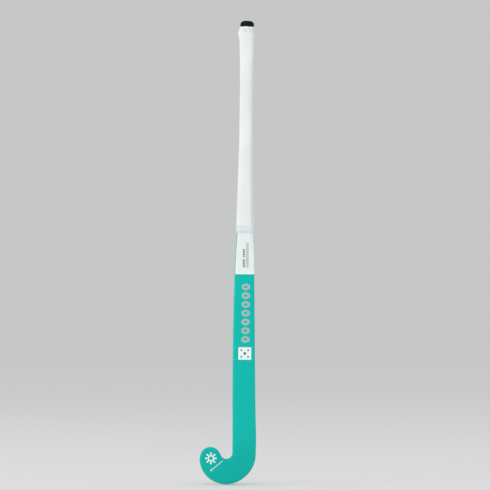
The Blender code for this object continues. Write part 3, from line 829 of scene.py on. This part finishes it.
def badge_print():
    """A plain white plate with rounded corners and five teal dots."""
    middle, width, length = node_frame("badge_plate")
    low = middle.z - length / 2
    bm = flat_shape(rectangle(middle.x, low, width, length))
    bmesh.ops.bevel(
        bm, geom=bm.verts[:], offset=BADGE_CORNER, affect="VERTICES", segments=3, profile=0.5, material=-1
    )
    print_on(bm)
    plate = fit_out(make("badge_print", bm, WHITE_INK), "white_print", "badge_plate")
    reach = Vector((width, 0, length)) * BADGE_DOT_REACH
    bm = bmesh.new()
    for x, z in ((0, 0), (-1, -1), (-1, 1), (1, -1), (1, 1)):
        radius = BADGE_DOT if x else BADGE_MIDDLE_DOT
        add_outline(bm, circle(middle.x + x * reach.x, middle.z + z * reach.z, radius, 20))
    print_on(bm, 2 * LIFT + INK)
    dots = make("badge_dots", bm, TEAL_INK)
    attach(dots, "root")
    return plate, dots


def badge_ticks():
    """Four short pale ticks beside the badge, level with its corners, at the shaft's rounded edges: a faint
    print line, lightened with painted highlight where it crosses the edges.
    """
    middle, _, length = node_frame("badge_plate")
    section = shaft_section(middle.z)
    bm = bmesh.new()
    for side, half in ((-1, section.toe), (1, section.heel)):
        x = side * (half - TICK_WIDTH / 2 - TICK_INSET)
        for end in (-1, 1):
            height = middle.z + end * (length / 2 - TICK_HEIGHT / 2)
            add_outline(bm, rectangle(x, height - TICK_HEIGHT / 2, TICK_WIDTH, TICK_HEIGHT))
    cut(bm, 0, TICK_STEP)
    print_on(bm)
    ticks = make("badge_ticks", bm, LINE_AND_GLINT_INK)
    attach(ticks, "root")
    return ticks


def rosette_print():
    """The toe's rosette: a ring, and petals round it."""
    middle, width, _ = node_frame("toe_rosette")
    bm = flat_shape(circle(middle.x, middle.z, width / 2, 48))
    face = bm.faces[:]
    bmesh.ops.inset_individual(bm, faces=face, thickness=ROSETTE_BAND, use_even_offset=True)
    bmesh.ops.delete(bm, geom=face, context="FACES")
    print_on(bm)
    fit_out(make("rosette_print", bm, WHITE_INK), "white_print", "toe_rosette")
    for i in range(PETALS):
        angle = math.tau * i / PETALS
        away = Vector((math.cos(angle), 0, math.sin(angle)))
        side = Vector((-away.z, 0, away.x))
        outline = []
        for step in range(PETAL_SIDES):
            turn = math.tau * step / PETAL_SIDES
            out = PETAL_ROOT + PETAL_HALF_LENGTH * (1 - math.cos(turn))
            point = middle + away * out + side * PETAL_HALF_WIDTH * math.sin(turn)
            outline.append((point.x, point.z))
        bm = flat_shape(outline)
        print_on(bm)
        fit_out(make(f"petal_print_{i + 1}", bm, WHITE_INK), "white_print", f"toe_petal_{i + 1}")


def legend_print():
    """A row of white dots beside the rosette, the first one larger."""
    low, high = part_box("toe_legend")
    inset = Vector((LEGEND_INSET, 0, LEGEND_INSET))
    start = Vector((low.x, 0, low.z - HEEL)) + inset
    end = Vector((high.x, 0, high.z - HEEL)) - inset
    bm = bmesh.new()
    for i in range(LEGEND_DOTS):
        at = start.lerp(end, i / (LEGEND_DOTS - 1))
        add_outline(bm, circle(at.x, at.z, LEGEND_DOT if i else LEGEND_FIRST_DOT, 12))
    print_on(bm)
    return fit_out(make("legend_print", bm, WHITE_INK), "white_print", "toe_legend")


# ---------------------------------------------------------------- the handle


def winding(angle, height):
    """How far the wound tape stands out here over the turn below."""
    turn = (height - GRIP_BOTTOM) / WIND_PITCH - angle / math.tau
    along = turn - math.floor(turn)
    edge = ramp(along, 0.0, LAP_EDGE)
    return LAP_RISE * (math.exp(-along / LAP_FADE) * edge + math.exp(-1 / LAP_FADE) * (1 - edge))


def lumps(angle, height):
    """The slow unevenness of a cushioned wrap."""
    return LUMP_RISE * (
        math.sin(3 * angle + 41 * height)
        + math.sin(2 * angle - 77 * height + 1.3)
        + 0.8 * math.sin(5 * angle + 160 * height + 0.4)
        + 1.4 * math.sin(angle - 118 * height + 2.1)
    )


def gathers(angle, height):
    """The folds where the tape's end is rolled in under the cap, from 0 in the creases to 1 on the crests."""
    slanted = math.sin(6 * angle + 1050 * height + 1.8 * math.sin(3 * angle + 0.5))
    along = math.sin(13 * angle + 300 * height + 2.2 * math.sin(2 * angle))
    patchy = 0.8 + 0.2 * math.sin(2 * angle + 4.2)
    return 1 - patchy * (0.5 - 0.32 * slanted - 0.18 * along)


def bulge(angle, height):
    """A fold that stands out on the toe side, a little under the rim."""
    toe_side = max(-math.cos(angle), 0.0) ** 3
    return BULGE * toe_side * math.exp(-(((height - SHELL_TOP + BULGE_DROP) / BULGE_REACH) ** 2))


def rim_lift(angle, height):
    """The rolled edge isn't level: it rises in front, left of the middle, and dips at the sides."""
    front = max(math.cos(angle + RIM_PEAK), -0.3)
    level = RIM_DIP * (front - 1) + RIM_RIPPLE * math.sin(7 * angle + 1.0)
    return ramp(height, SHELL_TOP - RIM_REACH, GRIP_TOP) * level


def grip_winding():
    """The grip: one tape wound up the handle in overlapping turns, rolled in at the top."""
    roll = GRIP_TOP - SHELL_TOP
    rows = []
    for turn in np.linspace(math.pi / 2, 0, ROLL_STEPS + 1):
        rows.append((GRIP_TOP - roll * (1 - math.sin(turn)), GRIP_OUTER - ROLL_IN * (1 - math.cos(turn))))
    rows += [(height, GRIP_OUTER) for height in heights_between(TAPE_TOP, SHELL_TOP, GRIP_STEP)[1:]]
    rows += [(TAPE_TOP - drop, GRIP_PRESSED) for drop in PRESS_ROWS]
    rows.append((GRIP_BOTTOM, GRIP_PRESSED))
    outside = [ring_points(shaft_section(height), -out) for height, out in rows]
    inner = [(GRIP_TOP - drop, out) for drop, out in GRIP_LIP]
    inner.append((SHELL_TOP + CLEARANCE, GRIP_INNER))
    low = heights_between(GRIP_BOTTOM, SHELL_TOP - 0.002, GRIP_INNER_STEP)
    inner += [(height, GRIP_INNER) for height in low]
    within = [ring_points(shaft_section(height), -out) for height, out in inner]
    bm = bmesh.new()
    fold = bm.verts.layers.float.new("fold")
    rings = skin(bm, within[::-1] + outside + within[-1:])
    for ring in rings[len(within) : -1]:
        for vert in ring:
            height = vert.co.z
            angle = math.atan2(vert.co.y, vert.co.x)
            free = ramp(height, *(TAPE_TOP + rise for rise in UNEVEN_FROM))
            gathered = ramp(height, SHELL_TOP - FOLD_REACH, SHELL_TOP - FOLD_REACH / 2)
            crease = gathered * (1 - gathers(angle, height))
            out = free * (winding(angle, height) + lumps(angle, height)) + bulge(angle, height)
            arm = Vector((vert.co.x, vert.co.y, 0)).normalized()
            vert.co += arm * (out - FOLD_DEPTH * crease)
            vert.co.z += rim_lift(angle, height)
            # painted shade, deepest in the creases
            vert[fold] = FOLD_SHADE * crease**2
    bmesh.ops.remove_doubles(bm, verts=bm.verts[:], dist=MERGE)
    grip = fit_out(make("grip_winding", bm, GRIP_PU, sharp=60), "white_grip", "grip_wrap")
    return grip


def creases(angle, height):
    """The fine creases of the stretched finishing tape."""
    return sum(rise * math.sin(waves * angle + slant * height) for rise, waves, slant in TAPE_CREASES)


def tape_band():
    """The finishing tape: a thin band over the grip's foot and the bare shell, its end lapped at the back."""
    base = GRIP_PRESSED + TAPE_OVER_GRIP
    rows = [(TAPE_TOP, base + 0.0001), (TAPE_TOP - 0.0003, base + TAPE_THICKNESS)]
    over_grip = heights_between(GRIP_BOTTOM, TAPE_TOP - TAPE_STEP, TAPE_STEP)[:-1]
    rows += [(height, base + TAPE_THICKNESS) for height in over_grip]
    over_shell = heights_between(TAPE_BOTTOM + 0.0002, GRIP_BOTTOM - 0.0004, TAPE_FALL_STEP)
    for height in [GRIP_BOTTOM, *over_shell, TAPE_BOTTOM]:
        share = ramp(height, GRIP_BOTTOM + TAPE_FALL[1], GRIP_BOTTOM + TAPE_FALL[0])
        low = TAPE_OVER_SHELL + 0.8 * TAPE_THICKNESS
        rows.append((height, low + share * (base - TAPE_OVER_SHELL)))
    outside = [ring_points(shaft_section(height), -out) for height, out in rows]
    within = [ring_points(shaft_section(height), TAPE_DEPTH - out) for height, out in rows]
    bm = bmesh.new()
    rings = skin(bm, outside + within[::-1] + outside[:1])
    rises, risen, falls, fallen = TAPE_LAP
    for ring in rings[: len(outside)] + rings[-1:]:
        for vert in ring:
            angle = math.atan2(vert.co.y, vert.co.x)
            lapped = TAPE_LAP_RISE * ramp(angle, rises, risen) * (1 - ramp(angle, falls, fallen))
            away = Vector((vert.co.x, vert.co.y, 0)).normalized()
            vert.co += away * (lapped + creases(angle, vert.co.z) + TAPE_SWELL)
    bmesh.ops.remove_doubles(bm, verts=bm.verts[:], dist=MERGE)
    return fit_out(make("tape_band", bm, TAPE), "pale_tape", "finishing_tape")


def butt_cap():
    """The rubber cap: a low dome with a dimple, a bead round its foot, a neck and a barbed spigot."""
    foot_inset, top_inset = CAP_DOME_INSETS
    dome = []
    for i in range(CAP_DOME_STEPS + 1):
        turn = math.pi / 2 * i / CAP_DOME_STEPS
        dome.append((CAP_DOME_DROP * (1 - math.cos(turn)), foot_inset + top_inset * (1 - math.sin(turn))))
    rows = [(LENGTH - drop, inset) for drop, inset in (*CAP_DIMPLE, *dome, *CAP_BEAD, *CAP_SKIRT)]
    rows += [(GRIP_TOP + rise, inset) for rise, inset in CAP_HEM]
    rows += [(GRIP_TOP - 0.001, NECK_INSET), (SHELL_TOP + CLEARANCE, NECK_INSET)]
    spigot_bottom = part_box("end_cap")[0].z - HEEL
    tip, core = WALL + SPIGOT_GAP, WALL + SPIGOT_INSET
    rows.append((SHELL_TOP + CLEARANCE, tip))
    pitch = (SHELL_TOP - spigot_bottom) / (BARBS + 1)
    for i in range(BARBS):
        barb = SHELL_TOP - (i + 1) * pitch
        rows += [(barb + BARB_LIP, core), (barb, tip), (barb - BARB_SLOPE * pitch, core)]
    rows.append((spigot_bottom, core))
    bm = bmesh.new()
    rings = skin(bm, [ring_points(shaft_section(height), inset) for height, inset in rows])
    bm.faces.new(rings[0])
    bm.faces.new(rings[-1])
    return fit_out(make("butt_cap", bm, RUBBER, sharp=50), "black_rubber", "end_cap")


def hidden_finishes():
    """The pieces inside the moulding keep their solids and get their own finishes."""
    finishes = {
        "centre_rib": CARBON,
        "toe_side_core": FOAM,
        "heel_side_core": FOAM,
        "head_core": FOAM,
        "heel_tow": ARAMID,
        "vibration_damper": SILICONE,
        "grip_underlay": CUSHION,
    }
    for node, look in finishes.items():
        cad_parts[node].data.materials.clear()
        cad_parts[node].data.materials.append(look)


# ---------------------------------------------------------------- the studio


ROOM_TINT = (0.985, 0.99, 1.0, 1)
ROOM_LIGHT = 0.79
ROOM_REFLECTED = 0.10
ROOM_SEEN = 0.575
FLOOR_RADIUS = 40
FLOOR_DROP = 0.001


def floor():
    """A wide plain pale floor, just under the heel."""
    look = Finish("studio_floor", 0.9, Specular_IOR_Level=0.1)
    look.colour(look.mix(look.noise(3, 2), (0.752, 0.755, 0.756), (0.772, 0.770, 0.771)))
    bm = bmesh.new()
    bmesh.ops.create_circle(bm, cap_ends=True, segments=96, radius=FLOOR_RADIUS)
    mesh = bpy.data.meshes.new("studio_floor")
    bmesh.ops.translate(bm, verts=bm.verts[:], vec=(0, 0, HEEL - FLOOR_DROP))
    bm.to_mesh(mesh)
    bm.free()
    mesh.materials.append(look.material)
    made = bpy.data.objects.new("studio_floor", mesh)
    bpy.context.scene.collection.objects.link(made)


def surroundings():
    """A pale even light all round, dimmer where it is only seen in reflections."""
    world = bpy.data.worlds.new("studio")
    bpy.context.scene.world = world
    world.use_nodes = True
    tree = world.node_tree
    path = tree.nodes.new("ShaderNodeLightPath")
    shown = None
    parts = ((ROOM_LIGHT, None), (ROOM_REFLECTED, "Is Glossy Ray"), (ROOM_SEEN, "Is Camera Ray"))
    for strength, ray in parts:
        light = tree.nodes.new("ShaderNodeBackground")
        light.inputs["Color"].default_value = ROOM_TINT
        light.inputs["Strength"].default_value = strength
        if ray:
            mixed = tree.nodes.new("ShaderNodeMixShader")
            tree.links.new(path.outputs[ray], mixed.inputs[0])
            tree.links.new(shown, mixed.inputs[1])
            tree.links.new(light.outputs[0], mixed.inputs[2])
            shown = mixed.outputs[0]
        else:
            shown = light.outputs[0]
    tree.links.new(shown, tree.nodes["World Output"].inputs["Surface"])


def softbox(name, at, target, size, power):
    """A rectangular soft light that looks at a point."""
    data = bpy.data.lights.new(name, "AREA")
    data.shape = "RECTANGLE"
    data.size, data.size_y = size
    data.energy = power
    made = bpy.data.objects.new(name, data)
    made.location = at
    made.rotation_euler = (Vector(target) - Vector(at)).to_track_quat("-Z", "Y").to_euler()
    bpy.context.scene.collection.objects.link(made)


def lights():
    middle = (0, 0, HEEL + LENGTH / 2)
    softbox("key_left", (-5.1, -5.7, 1.7), middle, (3.2, 4.8), 135)
    softbox("fill_right", (5.7, -5.1, 1.1), middle, (3.2, 4.8), 30)
    softbox("top", (0, -1.2, 4.6), middle, (3.6, 2.8), 30)
    softbox("rim_left", (-4.5, 2.7, 0.6), middle, (2.0, 4.8), 34)
    softbox("rim_right", (5.2, 2.0, 0.4), middle, (1.8, 4.2), 30)


SENSOR = 36
CAMERA_DISTANCE = 12.0
FRAME_HEIGHT = 0.982  # metres of the handle's plane that fill the frame
CAMERA_ROLL = math.radians(0.62)
AIM = Vector((0.0003, 0, HEEL + 0.4780))


def camera():
    """A long lens square on to the playing face, rolled a little so that the handle leans to the right."""
    data = bpy.data.cameras.new("studio_camera")
    data.sensor_width = SENSOR
    data.lens = SENSOR * CAMERA_DISTANCE / FRAME_HEIGHT
    data.clip_end = 200
    made = bpy.data.objects.new("studio_camera", data)
    right = Vector((math.cos(CAMERA_ROLL), 0, math.sin(CAMERA_ROLL)))
    up = Vector((-math.sin(CAMERA_ROLL), 0, math.cos(CAMERA_ROLL)))
    turn = Matrix((right, up, Vector((0, -1, 0)))).transposed()
    made.matrix_world = Matrix.Translation(AIM - Vector((0, CAMERA_DISTANCE, 0))) @ turn.to_4x4()
    bpy.context.scene.collection.objects.link(made)
    bpy.context.scene.camera = made


bpy.context.scene.view_settings.view_transform = "Standard"

lacquered_body()
panel_print()
bar_print("light_bar_print", "panel_bar_light", LIGHT_GREY_INK, "silver_print", dashes=16)
bar_print("dark_bar_print", "panel_bar_dark", DARK_GREY_INK, "grey_print", dashes=11, skipped=(5,))
for number in range(1, GLYPHS + 1):
    glyph_print(number)
badge_print()
badge_ticks()
rosette_print()
legend_print()
grip_winding()
tape_band()
butt_cap()
hidden_finishes()
floor()
surroundings()
lights()
camera()
